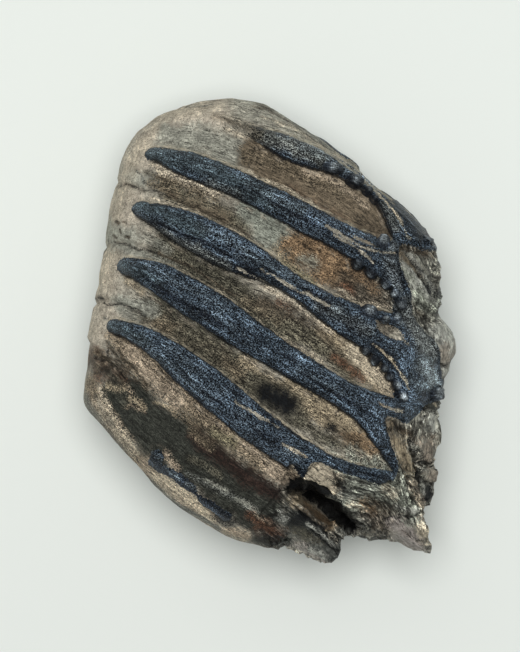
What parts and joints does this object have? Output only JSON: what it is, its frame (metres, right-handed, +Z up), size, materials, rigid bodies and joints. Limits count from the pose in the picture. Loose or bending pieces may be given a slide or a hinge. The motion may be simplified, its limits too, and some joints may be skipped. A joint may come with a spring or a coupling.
{
  "type": "fossil southern mammoth molar",
  "caption": "Fossil mammoth cheek tooth lying on its side: a thick rounded block with slanting dark enamel ridges, cement valleys between them, and broken, knobbly roots.",
  "frame": {"origin": "bottom centre of the bounding box, on the flat patch of the hidden side that the tooth lies on", "axes": "+Z up from the rest face through the tooth's width, +Y along the row of plates, +X from the crown margin to the roots"},
  "size_m": [0.1208, 0.15, 0.0771],
  "materials": {
    "fossil": "satin"
  },
  "bodies": {
    "root": {"molar": "fossil"}
  },
  "joints": []
}
